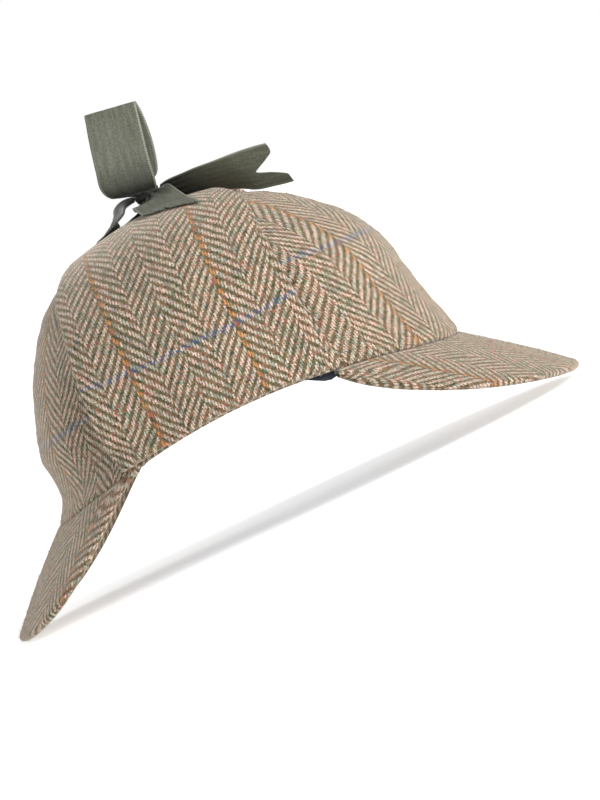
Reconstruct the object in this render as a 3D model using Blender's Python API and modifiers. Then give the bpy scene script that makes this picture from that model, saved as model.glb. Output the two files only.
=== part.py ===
"""Deerstalker hat at rest on its two peaks, with the ear flaps tied up over the crown.

+X points to the front peak, +Y to the wearer's left and +Z up. The origin is on the floor, under the
middle of the crown. All lengths are in metres.
"""

import math

import bmesh
import bpy
from mathutils import Vector

# Crown, measured on the outside of the cloth
RIM_LENGTH = 0.207
RIM_WIDTH = 0.169
CROWN_HEIGHT = 0.110
RIM_ARCH = 0.0165
RIM_ARCH_POWER = 2.3
CROWN_WALL = 0.0025
SEAM_GAP = 0.0006
TIP_SHARE = 0.992
PANEL_NAMES = ("front_left", "side_left", "back_left", "back_right", "side_right", "front_right")
PANEL_ANGLE = 2 * math.pi / len(PANEL_NAMES)

# Peaks
PEAK_REACH = 0.0415
PEAK_SLOPE = math.radians(44)
PEAK_SIDE_DROOP = math.radians(-2)
PEAK_BOW = 0.0012
PEAK_THICKNESS = 0.0035
PEAK_HALF_ANGLE = math.radians(63)
PEAK_FULLNESS = 0.95
PEAK_END_SHARE = 0.985
PEAK_EDGE_ROUND = 0.0012
FOOT_PRESS = 0.0016

# Ear flaps, folded up from the rim
FLAP_HALF_WIDTH = 0.0505
FLAP_CENTRE = -0.0068
FLAP_THICKNESS = 0.0035
FLAP_TOP_GAP = 0.020
FLAP_CORNER = 0.017
FLAP_EDGE_LIFT = 0.006
FLAP_EDGE_ROUND = 0.0013
FLAP_ROW_CROWDING = 1.6

# Ribbon
RIBBON_WIDTH = 0.025
RIBBON_THICKNESS = 0.001
KNOT_SIZE = Vector((0.013, 0.010, 0.009))
KNOT_FORWARD = -0.001
KNOT_RISE = 0.011
KNOT_SQUARENESS = 0.8
KNOT_PINCH_SHARE = 0.38
LOOP_HEIGHT = 0.043
LOOP_DEPTH = 0.0165
LOOP_DIP = math.radians(10)
NOTCHED_TAIL_REACH = 0.063
NOTCH_DEPTH = 0.009
NOTCH_PLACE_SHARE = 0.4
NOTCH_SPREAD_SHARE = 0.22
PLAIN_TAIL_REACH = 0.025
PLAIN_TAIL_SLANT_SHARE = 0.12
STRAP_REACH = 0.025
FAR_STRAP_PLACE = -0.0255
STRAP_LEAD = 0.003

# Clearance between sewn pieces, and the distance under which points are one
FIT_GAP = 0.0003
FLAP_GAP = 0.0005
PEAK_SEAM_GAP = 0.0005
MERGE_DISTANCE = 0.00001

RIM_LEVEL = (PEAK_REACH * math.tan(PEAK_SLOPE) + PEAK_THICKNESS * math.cos(PEAK_SLOPE)
             + PEAK_SEAM_GAP - FOOT_PRESS)
KNOT_CENTRE = Vector((KNOT_FORWARD, 0, RIM_LEVEL + CROWN_HEIGHT + KNOT_RISE))

# Crown sections from the rim to the top.
# Columns: height, then reach to the front, the sides and the back, as shares of the crown's sizes.
CROWN_SECTIONS = (
    (0.000, 1.000, 1.000, 1.000),
    (0.080, 0.985, 0.975, 0.942),
    (0.170, 0.957, 0.955, 0.935),
    (0.270, 0.921, 0.930, 0.948),
    (0.370, 0.897, 0.905, 0.922),
    (0.470, 0.884, 0.878, 0.880),
    (0.570, 0.843, 0.838, 0.836),
    (0.670, 0.778, 0.767, 0.774),
    (0.760, 0.685, 0.680, 0.710),
    (0.840, 0.586, 0.590, 0.632),
    (0.905, 0.468, 0.480, 0.520),
    (0.950, 0.335, 0.345, 0.375),
    (0.985, 0.175, 0.180, 0.195),
    (1.000, 0.000, 0.000, 0.000),
)

# Ear flap from its fold to its top edge.
# Columns: half width, then how far the back and the front edge stand off, as shares of the flap's sizes.
FLAP_SECTIONS = (
    (1.000, 0.30, 0.15),
    (1.000, 0.85, 0.50),
    (1.000, 1.00, 0.50),
    (0.990, 0.80, 0.40),
    (0.975, 0.50, 0.25),
    (0.955, 0.25, 0.15),
    (0.930, 0.10, 0.10),
)

# The bow's loop from the knot's near side, up and back down to the knot's top.
# Columns: shift forward in ribbon widths, out in loop depths, up in loop heights, width in ribbon widths.
LOOP_STATIONS = (
    (-0.12, 0.545, 0.042, 0.60),
    (-0.20, 0.820, 0.074, 0.85),
    (-0.22, 1.000, 0.198, 1.00),
    (-0.16, 1.000, 0.395, 1.00),
    (-0.06, 0.790, 0.674, 1.00),
    (0.03, 0.545, 0.895, 1.00),
    (0.07, 0.380, 0.998, 1.00),
    (0.08, 0.230, 0.988, 1.00),
    (0.05, 0.140, 0.837, 1.00),
    (-0.04, 0.050, 0.558, 1.00),
    (-0.10, 0.000, 0.302, 0.85),
    (-0.08, -0.020, 0.186, 0.65),
)

# Tails and straps, outwards from the knot.
# Columns: forward, left and up from the knot in the ribbon's own reach, the yaw and the dip of its width
# in degrees, and its width in ribbon widths.
NOTCHED_TAIL_STATIONS = (
    (0.222, 0.085, -0.025, 90, 20, 0.65),
    (0.444, 0.052, -0.060, 90, 26, 0.90),
    (0.625, 0.030, -0.122, 90, 40, 1.00),
    (0.744, 0.046, -0.160, 88, 51, 1.00),
    (0.889, 0.060, -0.192, 80, 57, 1.00),
    (0.983, 0.062, -0.214, 72, 60, 1.00),
)
PLAIN_TAIL_STATIONS = (
    (0.15, -0.33, -0.12, -5, -12, 0.72),
    (0.25, -0.54, -0.22, -6, 4, 0.95),
    (0.25, -0.96, -0.35, -18, 11, 1.08),
)
NEAR_STRAP_STATIONS = (
    (-0.04, -0.18, -0.25, 0, 0, 0.50),
    (-0.09, -0.24, -0.31, 0, 0, 0.75),
)
FAR_STRAP_STATIONS = (
    (-0.48, 0.04, 0.00, 95, -10, 0.70),
    (-0.63, 0.12, -0.09, 100, -12, 0.80),
    (-0.78, 0.18, -0.21, 80, -12, 0.70),
    (-0.90, 0.20, -0.36, 45, -5, 0.55),
)
STRAP_LANDING_WIDTHS = {"strap_near": 0.90, "strap_far": 0.45}

# Facets: across by along
PANEL_FACETS = (10, 17)
PEAK_FACETS = (5, 26)
FLAP_FACETS = (16, 15)
KNOT_FACETS = (14, 8)
LOOP_FACETS = (2, 32)
TAIL_FACETS = (5, 14)
STRAP_FACETS = (2, 10)
SHARP_ANGLE = math.radians(50)
SOLVE_STEPS = 30
SLOPE_STEP = 0.002

# Cloth colours and roughness
CROWN_CLOTH = ((0.32, 0.26, 0.19, 1), 0.95)
PEAK_CLOTH = ((0.35, 0.28, 0.21, 1), 0.95)
FLAP_CLOTH = ((0.31, 0.25, 0.19, 1), 0.95)
RIBBON_CLOTH = ((0.10, 0.11, 0.08, 1), 0.70)


def clear_scene():
    for item in list(bpy.data.objects):
        bpy.data.objects.remove(item, do_unlink=True)


def make_collection(name):
    collection = bpy.data.collections.new(name)
    bpy.context.scene.collection.children.link(collection)
    return collection


def make_cloth(name, cloth):
    colour, roughness = cloth
    material = bpy.data.materials.new(name)
    material.use_nodes = True
    shader = material.node_tree.nodes["Principled BSDF"]
    shader.inputs["Base Color"].default_value = colour
    shader.inputs["Roughness"].default_value = roughness
    shader.inputs["Metallic"].default_value = 0
    material.diffuse_color = colour
    return material


def smooth_row(rows, run):
    """Read a table at run, 0 on its first row and 1 on its last, on a smooth curve through the rows."""
    place = run * (len(rows) - 1)
    index = min(int(place), len(rows) - 2)
    part = place - index
    behind, start = rows[max(index - 1, 0)], rows[index]
    end, ahead = rows[index + 1], rows[min(index + 2, len(rows) - 1)]
    values = []
    for a, b, c, d in zip(behind, start, end, ahead):
        bend = (2 * a - 5 * b + 4 * c - d) * part + (3 * b - a - 3 * c + d) * part ** 2
        values.append(b + 0.5 * part * (c - a + bend))
    return values


def solve(falls_below, low, high):
    """The place between low and high where falls_below first turns true."""
    for _ in range(SOLVE_STEPS):
        middle = (low + high) / 2
        if falls_below(middle):
            high = middle
        else:
            low = middle
    return (low + high) / 2


def mapped_grid(facets, place):
    """A grid over 0 to 1 across and 0 to 1 along, with each point moved to place(across, along)."""
    grid = bmesh.new()
    bmesh.ops.create_grid(grid, x_segments=facets[0], y_segments=facets[1], size=0.5)
    for point in grid.verts:
        point.co = place(point.co.x + 0.5, point.co.y + 0.5)
    bmesh.ops.remove_doubles(grid, verts=grid.verts, dist=MERGE_DISTANCE)
    return grid


def add_piece(name, shape, cloth, collection):
    mesh = bpy.data.meshes.new(name)
    shape.to_mesh(mesh)
    shape.free()
    mesh.shade_smooth()
    mesh.set_sharp_from_angle(angle=SHARP_ANGLE)
    mesh.materials.append(make_cloth(name + "_cloth", cloth))
    piece = bpy.data.objects.new(name, mesh)
    collection.objects.link(piece)
    return piece


def add_wall(piece, thickness, side):
    """Side is -1 to thicken inwards, 0 both ways and 1 outwards."""
    wall = piece.modifiers.new("wall", "SOLIDIFY")
    wall.thickness = thickness
    wall.offset = side
    wall.use_even_offset = False


def add_rounding(piece, width):
    rounding = piece.modifiers.new("edge_round", "BEVEL")
    rounding.width = width
    rounding.segments = 2
    rounding.limit_method = "ANGLE"
    rounding.angle_limit = SHARP_ANGLE


def rim_height(angle):
    return RIM_LEVEL + RIM_ARCH * abs(math.sin(angle)) ** RIM_ARCH_POWER


def crown_share(angle, rise):
    """How much of the rim's reach is left at this plan angle and rise."""
    front, side, back = smooth_row(CROWN_SECTIONS, rise)[1:]
    lengthwise = front if math.cos(angle) > 0 else back
    return lengthwise * math.cos(angle) ** 2 + side * math.sin(angle) ** 2


def crown_point(angle, rise):
    """A point of the crown's outside; rise is 0 at the rim and 1 at the top."""
    share = crown_share(angle, rise)
    low = rim_height(angle)
    height = smooth_row(CROWN_SECTIONS, rise)[0]
    return Vector((
        RIM_LENGTH / 2 * share * math.cos(angle),
        RIM_WIDTH / 2 * share * math.sin(angle),
        low + (RIM_LEVEL + CROWN_HEIGHT - low) * height,
    ))


def crown_normal(angle, rise):
    low = max(rise - SLOPE_STEP, 0)
    high = min(rise + SLOPE_STEP, 1)
    round_it = crown_point(angle + SLOPE_STEP, rise) - crown_point(angle - SLOPE_STEP, rise)
    upwards = crown_point(angle, high) - crown_point(angle, low)
    return round_it.cross(upwards).normalized()


def crown_angle(forward, rise):
    """The plan angle at which the crown's outside is this far forward, at this rise."""
    return solve(lambda angle: crown_point(angle, rise).x < forward, 0, math.pi)


def crown_rise(forward, aside):
    """The rise at which the crown's outside passes over a point of the plan."""
    across, along = 2 * aside / RIM_WIDTH, 2 * forward / RIM_LENGTH
    angle = math.atan2(across, along)
    share = math.hypot(across, along)
    return solve(lambda rise: crown_share(angle, rise) < share, 0, 1)


def build_crown_panel(index, collection):
    middle = (index + 0.5) * PANEL_ANGLE

    def place(across, along):
        rise = along * TIP_SHARE
        seam_share = SEAM_GAP / 2 / crown_point(middle, rise).xy.length
        half = PANEL_ANGLE / 2 - seam_share if along < 1 else 0
        return crown_point(middle + half * (2 * across - 1), rise)

    name = "crown_panel_" + PANEL_NAMES[index]
    panel = add_piece(name, mapped_grid(PANEL_FACETS, place), CROWN_CLOTH, collection)
    add_wall(panel, CROWN_WALL, -1)


def build_peak(name, heading, floor, collection):
    """A peak round the front (heading 0) or the back (heading pi) of the rim."""

    def place(across, along):
        turn = PEAK_HALF_ANGLE * PEAK_END_SHARE * (2 * along - 1)
        angle = heading + turn
        reach = PEAK_REACH * (1 - (turn / PEAK_HALF_ANGLE) ** 2) ** PEAK_FULLNESS
        root = crown_point(angle, 0) - Vector((0, 0, PEAK_SEAM_GAP))
        outwards = Vector((RIM_WIDTH * math.cos(angle), RIM_LENGTH * math.sin(angle), 0)).normalized()
        run = reach * across
        fall = run * math.tan(PEAK_SLOPE + PEAK_SIDE_DROOP * (turn / PEAK_HALF_ANGLE) ** 2)
        bow = PEAK_BOW * reach / PEAK_REACH * math.sin(math.pi * across)
        return root + outwards * run + Vector((0, 0, bow - fall))

    peak = add_piece(name, mapped_grid(PEAK_FACETS, place), PEAK_CLOTH, collection)
    add_wall(peak, PEAK_THICKNESS, -1)
    add_rounding(peak, PEAK_EDGE_ROUND)
    foot = peak.modifiers.new("foot", "BOOLEAN")
    foot.operation = "DIFFERENCE"
    foot.object = floor


def build_floor_cutter(collection):
    """A block under the floor, which flattens the cloth where the peaks rest."""
    block = bmesh.new()
    bmesh.ops.create_cube(block, size=1)
    width = 2 * (RIM_LENGTH + PEAK_REACH)
    depth = 4 * PEAK_THICKNESS
    bmesh.ops.scale(block, vec=(width, width, depth), verts=block.verts)
    bmesh.ops.translate(block, vec=(0, 0, -depth / 2), verts=block.verts)
    cutter = add_piece("floor_cutter", block, PEAK_CLOTH, collection)
    cutter.hide_render = True
    cutter.display_type = "WIRE"
    return cutter


def flap_centre_run():
    """The flap's length from its fold to its top edge, over the middle of the crown's side."""
    top = crown_rise(FLAP_CENTRE, FLAP_TOP_GAP / 2)
    points = [crown_point(crown_angle(FLAP_CENTRE, top * step / SOLVE_STEPS), top * step / SOLVE_STEPS)
              for step in range(SOLVE_STEPS + 1)]
    return sum((b - a).length for a, b in zip(points, points[1:]))


def flap_point(aside, run, length, clear):
    """The right flap's surface: aside from -1 at the back edge to 1 at the front, run from fold to top."""
    half, back_lift, front_lift = smooth_row(FLAP_SECTIONS, run)
    from_top = (1 - run) * length
    inset = 0
    if from_top < FLAP_CORNER:
        inset = FLAP_CORNER - math.sqrt(FLAP_CORNER ** 2 - (FLAP_CORNER - from_top) ** 2)
    forward = FLAP_CENTRE + aside * (half * FLAP_HALF_WIDTH - inset)
    rise = run * crown_rise(forward, FLAP_TOP_GAP / 2)
    angle = crown_angle(forward, rise)
    lift = FLAP_EDGE_LIFT * (back_lift if aside < 0 else front_lift) * abs(aside) ** 3
    point = crown_point(angle, rise) + crown_normal(angle, rise) * (clear + lift)
    return Vector((point.x, -point.y, point.z))


def build_flap(name, side, length, collection):
    """Side is -1 for the wearer's right and 1 for the left."""

    def place(across, along):
        run = 1 - (1 - along) ** FLAP_ROW_CROWDING
        point = flap_point(-side * (2 * across - 1), run, length, FLAP_GAP)
        return Vector((point.x, -side * point.y, point.z))

    flap = add_piece(name, mapped_grid(FLAP_FACETS, place), FLAP_CLOTH, collection)
    add_wall(flap, FLAP_THICKNESS, 1)
    add_rounding(flap, FLAP_EDGE_ROUND)


def knot_reach(direction):
    """How far the knot reaches in a direction, to the plane that just touches it there."""
    power = 2 / (2 - KNOT_SQUARENESS)
    total = sum(abs(d * size / 2) ** power for d, size in zip(direction, KNOT_SIZE))
    return total ** (1 / power)


def build_knot(collection):
    knot = bmesh.new()
    bmesh.ops.create_uvsphere(knot, u_segments=KNOT_FACETS[0], v_segments=KNOT_FACETS[1], radius=1)
    for point in knot.verts:
        squared = [math.copysign(abs(c) ** KNOT_SQUARENESS, c) for c in point.co]
        point.co = KNOT_CENTRE + Vector([c * size / 2 for c, size in zip(squared, KNOT_SIZE)])
    add_piece("bow_knot", knot, RIBBON_CLOTH, collection)


def width_vector(yaw, dip, width):
    """Half of the ribbon's width, as a vector along its row."""
    yaw, dip = math.radians(yaw), math.radians(dip)
    direction = Vector((math.cos(yaw) * math.cos(dip), math.sin(yaw) * math.cos(dip), -math.sin(dip)))
    return direction * RIBBON_WIDTH / 2 * width


def from_knot(stations, reach):
    """Rows of middle point and half-width vector, from the knot's skin on through the stations."""
    rows = []
    for forward, left, up, yaw, dip, width in stations:
        middle = KNOT_CENTRE + Vector((forward, left, up)) * reach
        rows.append((middle, width_vector(yaw, dip, width)))
    rows.insert(0, pinched_row(rows[0]))
    return rows


def pinched_row(next_row):
    """The row where a ribbon goes into the knot, square to its way out to the given row."""
    middle, half = next_row
    outwards = (middle - KNOT_CENTRE).normalized()
    start = KNOT_CENTRE + outwards * (knot_reach(outwards) + FIT_GAP)
    square = half - outwards * half.dot(outwards)
    return start, square.normalized() * RIBBON_WIDTH / 2 * KNOT_PINCH_SHARE


def build_ribbon(name, rows, facets, collection, end_cut=lambda across: 0):
    """A strip through rows of middle point and half width; end_cut is the share taken off its end."""
    table = [(*middle, *half) for middle, half in rows]

    def place(across, along):
        row = smooth_row(table, along * (1 - end_cut(across)))
        return Vector(row[:3]) + Vector(row[3:]) * (2 * across - 1)

    ribbon = add_piece(name, mapped_grid(facets, place), RIBBON_CLOTH, collection)
    add_wall(ribbon, RIBBON_THICKNESS, 0)


def build_loop(collection):
    rows = []
    for shift, out, up, width in LOOP_STATIONS:
        offset = Vector((shift * RIBBON_WIDTH, -out * LOOP_DEPTH, up * LOOP_HEIGHT))
        rows.append((KNOT_CENTRE + offset, width_vector(0, math.degrees(LOOP_DIP), width)))
    rows.insert(0, pinched_row(rows[0]))
    rows.append(pinched_row(rows[-1]))
    build_ribbon("bow_loop", rows, LOOP_FACETS, collection)


def build_tails(collection):
    def notch(across):
        near = max(0, 1 - abs(across - NOTCH_PLACE_SHARE) / NOTCH_SPREAD_SHARE)
        return near * NOTCH_DEPTH / NOTCHED_TAIL_REACH

    def slant(across):
        return PLAIN_TAIL_SLANT_SHARE * (1 - across)

    notched = from_knot(NOTCHED_TAIL_STATIONS, NOTCHED_TAIL_REACH)
    build_ribbon("tail_notched", notched, TAIL_FACETS, collection, notch)
    plain = from_knot(PLAIN_TAIL_STATIONS, PLAIN_TAIL_REACH)
    build_ribbon("tail_plain", plain, TAIL_FACETS, collection, slant)


def sewn_rows(name, side, forward, length):
    """The last rows of a strap, which runs level into the top edge of the flap on its side."""
    reach = FLAP_HALF_WIDTH * FLAP_SECTIONS[-1][0] - FLAP_CORNER
    edge = flap_point((forward - FLAP_CENTRE) / reach, 1, length, FLAP_GAP + FLAP_THICKNESS / 2)
    half = width_vector(0, 0, STRAP_LANDING_WIDTHS[name])
    end = FLAP_TOP_GAP / 2 - FIT_GAP
    return [(Vector((edge.x, side * (end - lead), edge.z)), half) for lead in (STRAP_LEAD, 0)]


def build_straps(length, collection):
    near = from_knot(NEAR_STRAP_STATIONS, STRAP_REACH)
    near += sewn_rows("strap_near", -1, FLAP_CENTRE, length)
    build_ribbon("strap_near", near, STRAP_FACETS, collection)
    far = from_knot(FAR_STRAP_STATIONS, STRAP_REACH)
    far += sewn_rows("strap_far", 1, FAR_STRAP_PLACE, length)
    build_ribbon("strap_far", far, STRAP_FACETS, collection)


def build_hat():
    clear_scene()
    hat = make_collection("deerstalker_hat")
    cutters = make_collection("cutters")
    floor = build_floor_cutter(cutters)
    for index in range(len(PANEL_NAMES)):
        build_crown_panel(index, hat)
    build_peak("peak_front", 0, floor, hat)
    build_peak("peak_back", math.pi, floor, hat)
    length = flap_centre_run()
    build_flap("ear_flap_right", -1, length, hat)
    build_flap("ear_flap_left", 1, length, hat)
    build_knot(hat)
    build_loop(hat)
    build_tails(hat)
    build_straps(length, hat)


build_hat()
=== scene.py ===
"""Deerstalker hat in herringbone tweed, resting on its two peaks with the ear flaps tied up over the crown.

+X points to the front peak, +Y to the wearer's left and +Z up. All lengths are in metres.
"""

import bisect
import math
import random
from functools import lru_cache

import bmesh
import bpy
from mathutils import Matrix, Vector, noise


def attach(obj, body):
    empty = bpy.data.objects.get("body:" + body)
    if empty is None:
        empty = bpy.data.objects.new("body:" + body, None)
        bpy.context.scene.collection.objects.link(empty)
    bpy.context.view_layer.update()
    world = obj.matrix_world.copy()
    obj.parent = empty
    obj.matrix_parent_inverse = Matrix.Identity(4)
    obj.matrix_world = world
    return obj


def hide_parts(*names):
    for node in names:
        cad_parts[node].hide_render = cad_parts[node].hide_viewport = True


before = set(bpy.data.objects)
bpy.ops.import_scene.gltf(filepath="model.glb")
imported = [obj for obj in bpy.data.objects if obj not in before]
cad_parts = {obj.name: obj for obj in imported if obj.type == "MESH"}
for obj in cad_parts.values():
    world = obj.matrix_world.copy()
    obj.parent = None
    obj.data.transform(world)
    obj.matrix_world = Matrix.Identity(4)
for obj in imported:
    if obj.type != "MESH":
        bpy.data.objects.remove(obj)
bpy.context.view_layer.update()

# Crown, measured on the outside of the cloth
RIM_LENGTH = 0.207
RIM_WIDTH = 0.169
CROWN_HEIGHT = 0.110
RIM_ARCH = 0.0165
RIM_ARCH_POWER = 2.3
CROWN_WALL = 0.0024
SEAM_GAP = 0.0001
TIP_SHARE = 0.995
GORE_NAMES = ("front_left", "side_left", "back_left", "back_right", "side_right", "front_right")
GORE_ANGLE = 2 * math.pi / len(GORE_NAMES)
RIM_ROLL = 0.0015
TOP_FADE_SHARE = 0.125
LAST_NORMAL_RISE = 0.99

# The hollow along each seam: depth and half width. Its puckers: height, reach from the seam, and length
SEAM_VALLEY = (0.0012, 0.0022)
SEAM_PUCKER = (0.00028, 0.007, 0.011)

# The shallow hollow in the crown behind each flap
DENT_DEPTH = 0.0042
DENT_FORWARD = -0.066
DENT_WIDTH = 0.012
DENT_RISE = 0.28
DENT_RISE_SPREAD = 0.17

# The lining's turned-in edge, which hangs lower in the notches beside the front peak
LINING_EDGE_RISE = 0.10
LINING_EDGE_INSET = 0.0046
LINING_EDGE_THICKNESS = 0.0006
LINING_EDGE_LIFT = 0.0018
LINING_EDGE_DROP = 0.0046
LINING_NOTCH_ANGLE = math.radians(64.5)
LINING_NOTCH_SPREAD = math.radians(5)

# Peaks
PEAK_REACH = 0.0415
PEAK_SLOPE = math.radians(44)
PEAK_THICKNESS = 0.0035
PEAK_END_SHARE = 0.995
PEAK_SEAM_GAP = 0.0005
PEAK_TUCK = 0.0011
LEAST_EDGE_SHARE = 0.2
FOOT_PRESS = 0.0016
LEAST_HEIGHT = 0.00002

# Ear flaps, folded up from the rim
FLAP_HALF_WIDTH = 0.0505
FLAP_CENTRE = -0.0068
FLAP_THICKNESS = 0.0038
FLAP_TOP_GAP = 0.020
FLAP_CORNER = 0.017
FLAP_EDGE_LIFT = 0.0075
FLAP_CLEARANCE = 0.0006

# Ribbon
RIBBON_WIDTH = 0.025
RIBBON_THICKNESS = 0.0005
LONG_TAIL_CLEARANCE = 0.0003
SHORT_TAIL_CLEARANCE = 0.0013
KNOT_SIZE = Vector((0.013, 0.010, 0.009))
KNOT_FORWARD = 0.0007
# The knot's cloth length for each radian round it, kept short so that the whole knot lies in the ribbon's
# painted shade
KNOT_TURN_LENGTH = 0.0022
KNOT_RISE = 0.011
KNOT_SQUARENESS = 0.8
KNOT_PINCH_SHARE = 0.38
LOOP_HEIGHT = 0.043
LOOP_DEPTH = 0.0165
LOOP_DIP = math.radians(10)
NOTCHED_TAIL_REACH = 0.063
NOTCH_DEPTH = 0.0172
PLAIN_TAIL_REACH = 0.025
PLAIN_TAIL_SLANT_SHARE = 0.02
STRAP_REACH = 0.025
FAR_STRAP_PLACE = -0.0255
STRAP_LEAD = 0.003
FIT_GAP = 0.0003

# The slow uneven lie of each cloth: height and length
CROWN_WAVE = (0.0005, 0.045)
PEAK_WAVE = (0.0003, 0.025)
FLAP_WAVE = (0.0006, 0.030)
RIBBON_WAVE = (0.0004, 0.012)

# Folds of the ribbon where it is pinched: height, number across it, sway, and the sway's rate along it
RIBBON_GATHERS = (0.0009, 3.5, 0.4, 5)

# Folds round the knot: depth, rate up the knot, sway, and sharpness
KNOT_FOLDS = (0.10, 9, 1.3, 6)

RIM_LEVEL = (PEAK_REACH * math.tan(PEAK_SLOPE) + PEAK_THICKNESS * math.cos(PEAK_SLOPE)
             + PEAK_SEAM_GAP - FOOT_PRESS)
KNOT_CENTRE = Vector((KNOT_FORWARD, 0, RIM_LEVEL + CROWN_HEIGHT + KNOT_RISE))

# Crown sections from the rim to the top.
# Columns: height, then reach to the front, the sides and the back, as shares of the crown's sizes.
CROWN_SECTIONS = (
    (0.000, 1.000, 1.000, 1.006),
    (0.080, 0.985, 0.975, 0.945),
    (0.170, 0.957, 0.955, 0.935),
    (0.270, 0.931, 0.930, 0.948),
    (0.370, 0.908, 0.905, 0.922),
    (0.470, 0.888, 0.878, 0.880),
    (0.570, 0.843, 0.838, 0.836),
    (0.670, 0.773, 0.767, 0.774),
    (0.760, 0.677, 0.680, 0.710),
    (0.840, 0.578, 0.590, 0.632),
    (0.905, 0.463, 0.480, 0.520),
    (0.950, 0.335, 0.345, 0.375),
    (0.985, 0.175, 0.180, 0.195),
    (1.000, 0.000, 0.000, 0.000),
)

# Each peak. Columns: half angle and how much steeper its sides fall, in degrees, reach, the two powers of its
# outline, the height of its bow, and its tip's lift with the power it comes in by and its spread in degrees.
PEAK_FORMS = {
    "front_peak": (63.2, -5.5, 0.0440, 2.03, 0.62, 0.0017, 0.0062, 1.40, 40),
    "back_peak": (58.4, 3.5, 0.0398, 4.36, 2.60, 0.0012, 0.0, 1.0, 40),
}

# Ear flap from its fold to its top edge.
# Columns: half width, then how far the back and the front edge stand off, as shares of the flap's sizes.
FLAP_SECTIONS = (
    (1.000, 0.30, 0.15),
    (1.000, 0.85, 0.50),
    (1.000, 1.00, 0.50),
    (0.990, 0.80, 0.40),
    (0.975, 0.50, 0.25),
    (0.955, 0.25, 0.15),
    (0.930, 0.10, 0.10),
)

# The bow's loop from the knot's near side, up and back down to the knot's top.
# Columns: shift forward in ribbon widths, out in loop depths, up in loop heights, width in ribbon widths.
LOOP_STATIONS = (
    (-0.10, 0.545, 0.042, 0.60),
    (-0.17, 0.820, 0.074, 0.88),
    (-0.19, 1.000, 0.198, 1.03),
    (-0.13, 1.000, 0.395, 1.02),
    (-0.03, 0.790, 0.674, 1.01),
    (0.05, 0.545, 0.885, 0.99),
    (0.085, 0.380, 0.985, 0.98),
    (0.10, 0.230, 0.975, 0.98),
    (0.10, 0.140, 0.830, 1.00),
    (0.05, 0.050, 0.558, 1.00),
    (-0.05, 0.000, 0.302, 0.98),
    (-0.03, -0.020, 0.186, 0.74),
)

# Tails and straps, outwards from the knot.
# Columns: forward, left and up from the knot in the ribbon's own reach, the yaw and the dip of its width
# in degrees, and its width in ribbon widths.
NOTCHED_TAIL_STATIONS = (
    (0.222, 0.085, -0.050, 90, 28, 0.78),
    (0.444, 0.052, -0.088, 90, 30, 1.01),
    (0.625, 0.030, -0.135, 90, 40, 1.03),
    (0.744, 0.046, -0.173, 88, 51, 1.03),
    (0.889, 0.060, -0.203, 80, 57, 1.02),
    (0.983, 0.062, -0.222, 72, 60, 1.00),
)
PLAIN_TAIL_STATIONS = (
    (0.08, -0.33, -0.12, -5, -16, 0.80),
    (0.15, -0.60, -0.20, -12, 6, 0.98),
    (0.38, -1.24, -0.52, -20, 15, 1.22),
)
NEAR_STRAP_STATIONS = (
    (-0.04, -0.18, -0.25, 0, 0, 0.50),
    (-0.09, -0.24, -0.31, 0, 0, 0.75),
)
FAR_STRAP_STATIONS = (
    (-0.48, 0.04, 0.00, 95, -10, 0.70),
    (-0.63, 0.12, -0.09, 100, -12, 0.80),
    (-0.82, 0.18, -0.22, 80, -12, 0.72),
    (-0.96, 0.20, -0.37, 45, -5, 0.60),
)
STRAP_LANDING_WIDTHS = {"strap_near": 0.90, "strap_far": 0.45}

# The notch in the long tail, at even steps across it: how deep, as a share of its depth
NOTCH_CUTS = ((0.0,), (0.0,), (0.09,), (0.38,), (0.66,), (0.90,), (1.0,), (0.50,), (0.02,), (0.0,), (0.0,))

# The short tail's frayed end. Columns: number of changes across it, and their strength
FRAY_CHANGES = ((8, 1.0), (27, 0.8))
FRAY_DEPTH_SHARE = 0.08
THREAD_COUNT = 24
THREAD_DEPTH_SHARE = 0.03

# The weave. Twelve ends make one herringbone column, and coloured lines cross at every fourth column.
END_PITCH = 0.0010625
PICK_PITCH = 0.001295
COLUMN_ENDS = 12
CHECK_ENDS = 48
CHECK_PICKS = 116
RED_LINE_PICK = 58
LINE_YARNS = 2
FLOAT_LENGTH = 1.12
FLOAT_WIDTH = 0.44
FLOAT_EDGE = (1.50, 0.60)
FLOAT_BREAK = 2.6
FIBRE_RATES = (2.9, 1.5, 5.0)
FIBRE_HEIGHT = 0.5
WARP_CREST = 1.3
WEFT_CREST = 0.55
WEFT_DYE_RATE = 0.6
YARN_DRIFT = 0.0020
YARN_HAIR = 0.0013

# Loose fibres: cloth area for each, shortest and longest, width, and least and most rise by length. Then how
# far a fibre bends aside and narrows, as shares, and the number that starts its random draws
STRAY_AREA = 0.0000048
STRAY_LENGTH = (0.0007, 0.0022)
STRAY_WIDTH = 0.00016
STRAY_RISE = (0.20, 0.80)
STRAY_BEND = 0.3
STRAY_TAPER = 0.8
STRAY_SEED = 7
STRAY_DYE_RATE = 9000

# Where a coloured warp line and the blue weft line lie on each kind of piece
FLAP_WARP_LINE = 0.0147
FLAP_BLUE_LINE = 0.0500
GORE_WARP_LINES = {"front": -0.005, "side": 0.010, "back": -0.0066}
GORE_BLUE_LINES = {"front": 0.060, "side": 0.049, "back": 0.036}
PEAK_WARP_LINE = 0.030
PEAK_WEFT_LINE = -0.0631

# Facets: across by along
GORE_FACETS = (36, 64)
LINING_EDGE_FACETS = (180, 6)
PEAK_FACETS = (22, 120)
FLAP_FACETS = (60, 72)
KNOT_FACETS = (36, 20)
LOOP_FACETS = (20, 140)
TAIL_FACETS = (72, 72)
STRAP_FACETS = (14, 48)
ARC_STEPS = 40
SEAM_STEPS = 6
SOLVE_STEPS = 26
SLOPE_STEP = 0.002
PEAK_EDGE_STEP = 2 * SLOPE_STEP
PEAK_NORMAL_STEP = 0.1 * SLOPE_STEP
FORWARD_STEP = 0.0005
PLACE_DIGITS = 5
MERGE_DISTANCE = 0.000005
CLOTH_MAP = "cloth"

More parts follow.
